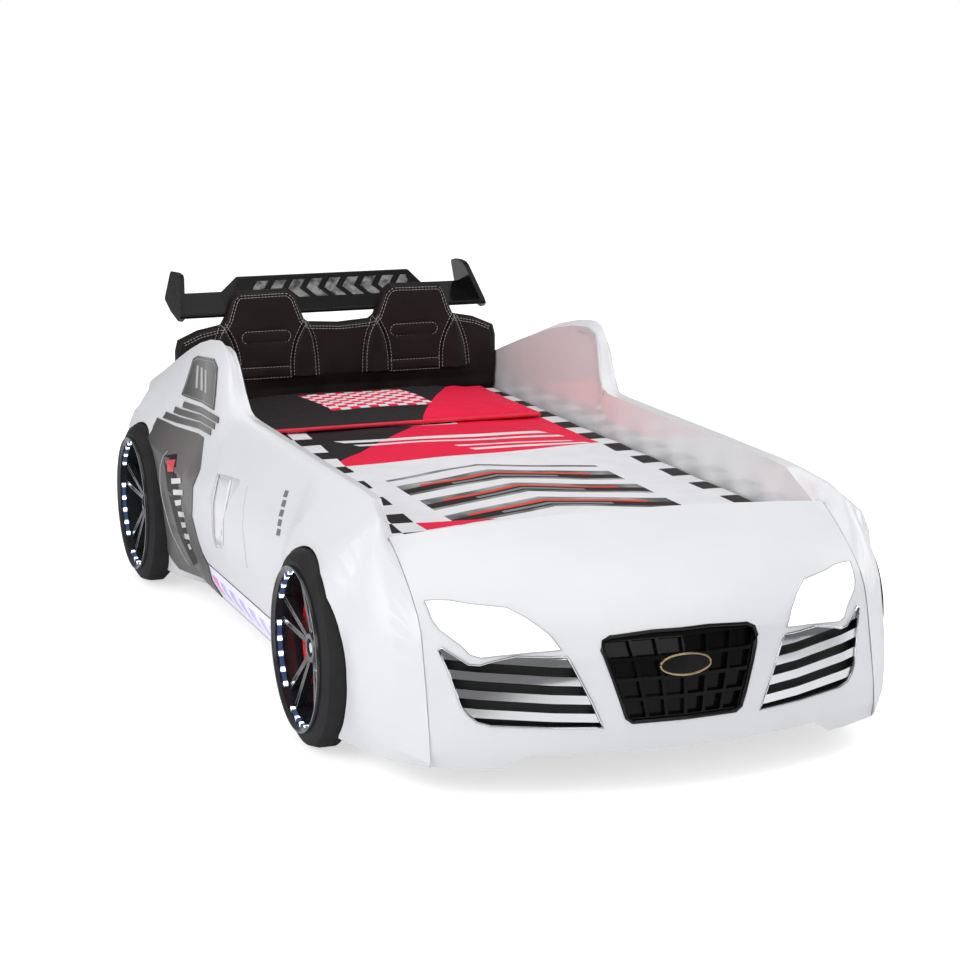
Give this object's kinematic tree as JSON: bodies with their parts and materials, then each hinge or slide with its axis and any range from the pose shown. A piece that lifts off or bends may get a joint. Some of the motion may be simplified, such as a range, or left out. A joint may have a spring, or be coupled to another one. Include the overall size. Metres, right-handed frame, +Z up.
{
  "type": "car bed for children",
  "caption": "Child's bed shaped as a sports car: gloss white body, bonnet with lit lamps and grille, wheels, rear wing, upholstered headboard, printed bedding.",
  "frame": {"origin": "on the floor, under the middle of the whole length and width", "axes": "+X across the bed, +Y along it from the bonnet to the headboard, +Z up"},
  "size_m": [1.28, 2.545, 0.7685],
  "materials": {
    "body_gloss": "high gloss white",
    "board_gloss": "white high-gloss lacquered board",
    "board_black": "black laminated board",
    "trim_black": "satin black edging",
    "handle_white": "white gloss recess plate",
    "sill_lit": "translucent lavender, lit from behind",
    "pillar_gloss": "gloss black",
    "pillar_blade": "gloss charcoal",
    "lamp_lit": "clear lens, lit white",
    "housing_black": "satin black",
    "bar_chrome": "bright metallised",
    "grille_gloss": "gloss black",
    "badge_chrome": "bare oval, metallised",
    "leatherette": "near-black brown leatherette with pale stitching",
    "wing_black": "gloss black",
    "wing_panel": "smoked black with silver blocks",
    "led_blue": "lit blue-white diffuser",
    "caliper_red": "gloss red",
    "post_wood": "planed softwood",
    "steel": "zinc plated",
    "slat_wood": "planed birch",
    "ticking": "woven white ticking",
    "printed_cover": "printed satin cloth, dark with a red field and check border",
    "printed_pillow": "printed satin cloth with red piping",
    "case_black": "satin black",
    "rocker_red": "gloss red",
    "tyre": "matt dark rubber-look",
    "wheel_gloss": "gloss black"
  },
  "bodies": {
    "bed": {"bolts": "steel", "brake_caliper_left": "caliper_red", "brake_caliper_right": "caliper_red", "centre_beam": "post_wood", "corner_posts": "post_wood", "door_handle_left": "handle_white", "door_handle_right": "handle_white", "foot_board": "board_gloss", "front_shell": "body_gloss", "grille": "grille_gloss", "grille_badge": "badge_chrome", "headboard_board": "board_black", "headboard_pad": "leatherette", "hump_trim_left": "trim_black", "hump_trim_right": "trim_black", "lamp_housing_left": "housing_black", "lamp_housing_right": "housing_black", "lamp_lens_left": "lamp_lit", "lamp_lens_right": "lamp_lit", "ledger_left": "post_wood", "ledger_right": "post_wood", "light_box": "case_black", "louvre_bars_left": "bar_chrome", "louvre_bars_right": "bar_chrome", "louvre_pan_left": "housing_black", "louvre_pan_right": "housing_black", "pillar_blade_left": "pillar_blade", "pillar_blade_right": "pillar_blade", "pillar_cap_left": "pillar_gloss", "pillar_cap_right": "pillar_gloss", "rear_board": "board_gloss", "rear_deck": "board_gloss", "rim_light_strips": "led_blue", "seat_back_left": "leatherette", "seat_back_right": "leatherette", "side_board_left": "board_gloss", "side_board_right": "board_gloss", "side_panel_left": "body_gloss", "side_panel_right": "body_gloss", "sill_light_left": "sill_lit", "sill_light_right": "sill_lit", "slats": "slat_wood", "tyre_front_left": "tyre", "tyre_front_right": "tyre", "tyre_rear_left": "tyre", "tyre_rear_right": "tyre", "wheel_cover_front_left": "wheel_gloss", "wheel_cover_front_right": "wheel_gloss", "wheel_cover_rear_left": "wheel_gloss", "wheel_cover_rear_right": "wheel_gloss", "wing_blade": "wing_black", "wing_fin_left": "wing_black", "wing_fin_right": "wing_black", "wing_panel": "wing_panel", "wing_post_left": "wing_black", "wing_post_right": "wing_black"},
    "bedding": {"cover": "printed_cover", "mattress": "ticking"},
    "pillow": {"pillow": "printed_pillow"},
    "rocker": {"rocker_switch": "rocker_red"}
  },
  "joints": [
    {"name": "bedding_lift", "type": "slide", "parent": "bed", "child": "bedding", "axis": [0, 0, 1], "range_m": [0, 0.42]},
    {"name": "pillow_lift", "type": "slide", "parent": "bedding", "child": "pillow", "axis": [0, 0, 1], "range_m": [0, 0.3]},
    {"name": "rocker_tilt", "type": "hinge", "parent": "bed", "child": "rocker", "pos_m": [0.28, 1.2, 0.33], "axis": [1, 0, 0], "range_deg": [-8, 8]}
  ]
}
